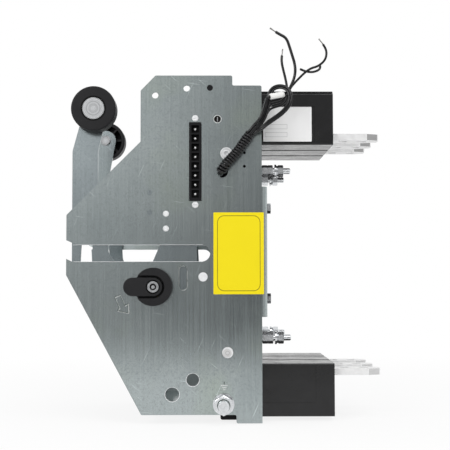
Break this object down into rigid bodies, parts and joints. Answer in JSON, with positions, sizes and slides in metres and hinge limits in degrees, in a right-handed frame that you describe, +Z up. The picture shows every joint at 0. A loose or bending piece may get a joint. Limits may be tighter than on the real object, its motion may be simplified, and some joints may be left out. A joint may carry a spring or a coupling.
{
  "type": "draw-out circuit breaker cradle",
  "caption": "Draw-out cradle for a moulded case circuit breaker: side plates, contact jaws with rear terminals, swinging levers with rollers, turning lock handle and wiring.",
  "frame": {"origin": "centre of the four rear studs, in the plane where their inner nuts meet the control panel", "axes": "+X from the operator's side to the control panel along the studs, +Y across the cradle away from the wired side plate, +Z up"},
  "size_m": [0.2895, 0.202, 0.3536],
  "materials": {
    "zinc_sheet": "zinc plated and passivated, light scratches",
    "lever_steel": "zinc plated plate",
    "turned_steel": "turned",
    "fastener_steel": "bright zinc",
    "spring_steel": "bright zinc",
    "tinned_copper": "tin plated copper, satin",
    "contact_pins": "tin plated",
    "black_moulding": "fine matt",
    "housing_plastic": "satin",
    "roller_plastic": "matt",
    "lock_plastic": "matt",
    "wire_black": "satin insulation",
    "sleeve_white": "matt"
  },
  "bodies": {
    "cradle": {"side_plate_near": "zinc_sheet", "side_plate_far": "zinc_sheet", "rear_cross_plate": "zinc_sheet", "bottom_plate": "zinc_sheet", "guide_block_near": "lever_steel", "guide_block_far": "lever_steel", "pivot_pins": "turned_steel", "upper_contact_base": "black_moulding", "lower_contact_base": "black_moulding", "jaw_springs": "spring_steel", "rear_studs": "fastener_steel", "stud_nuts": "fastener_steel", "stud_washers": "fastener_steel", "spring_washers": "spring_steel", "flange_bolts": "fastener_steel", "side_screws": "fastener_steel", "side_bosses": "fastener_steel", "earth_bolt": "fastener_steel", "earth_washers": "fastener_steel", "earth_nut": "fastener_steel", "guide_rivets": "turned_steel", "side_connector": "black_moulding", "connector_pins": "contact_pins", "connector_screws": "fastener_steel", "position_switch": "black_moulding", "switch_screw": "fastener_steel", "wire_bundle": "wire_black", "wire_wrap": "wire_black", "wire_loop": "wire_black", "wire_a": "wire_black", "wire_b": "wire_black", "wire_c": "wire_black", "wire_sleeve": "sleeve_white", "upper_housing_near": "housing_plastic", "upper_bar_near": "tinned_copper", "upper_jaw_near": "tinned_copper", "upper_housing_middle": "housing_plastic", "upper_bar_middle": "tinned_copper", "upper_jaw_middle": "tinned_copper", "upper_housing_far": "housing_plastic", "upper_bar_far": "tinned_copper", "upper_jaw_far": "tinned_copper", "lower_housing_near": "housing_plastic", "lower_bar_near": "tinned_copper", "lower_jaw_near": "tinned_copper", "lower_housing_middle": "housing_plastic", "lower_bar_middle": "tinned_copper", "lower_jaw_middle": "tinned_copper", "lower_housing_far": "housing_plastic", "lower_bar_far": "tinned_copper", "lower_jaw_far": "tinned_copper"},
    "near_lever": {"lever_near": "lever_steel", "roller_axle_near": "turned_steel"},
    "near_roller": {"roller_near": "roller_plastic"},
    "far_lever": {"lever_far": "lever_steel", "roller_axle_far": "turned_steel"},
    "far_roller": {"roller_far": "roller_plastic"},
    "lock": {"lock_handle": "lock_plastic", "lock_screw": "fastener_steel", "lock_shaft": "turned_steel"}
  },
  "joints": [
    {"name": "near_lever_swing", "type": "hinge", "parent": "cradle", "child": "near_lever", "pos_m": [-0.0651, -0.0787, -0.0213], "axis": [0, -1, 0], "range_deg": [0, 18]},
    {"name": "far_lever_swing", "type": "hinge", "parent": "cradle", "child": "far_lever", "pos_m": [-0.0651, 0.0787, -0.0213], "axis": [0, -1, 0], "range_deg": [-3.1, 14.9]},
    {"name": "near_roller_spin", "type": "hinge", "parent": "near_lever", "child": "near_roller", "pos_m": [-0.1625, -0.09, 0.1287], "axis": [0, 1, 0], "continuous": true},
    {"name": "far_roller_spin", "type": "hinge", "parent": "far_lever", "child": "far_roller", "pos_m": [-0.17047, 0.09, 0.12321], "axis": [0, 1, 0], "continuous": true},
    {"name": "lock_turn", "type": "hinge", "parent": "cradle", "child": "lock", "pos_m": [-0.1095, -0.083, -0.0301], "axis": [0, -1, 0], "range_deg": [0, 90]}
  ]
}
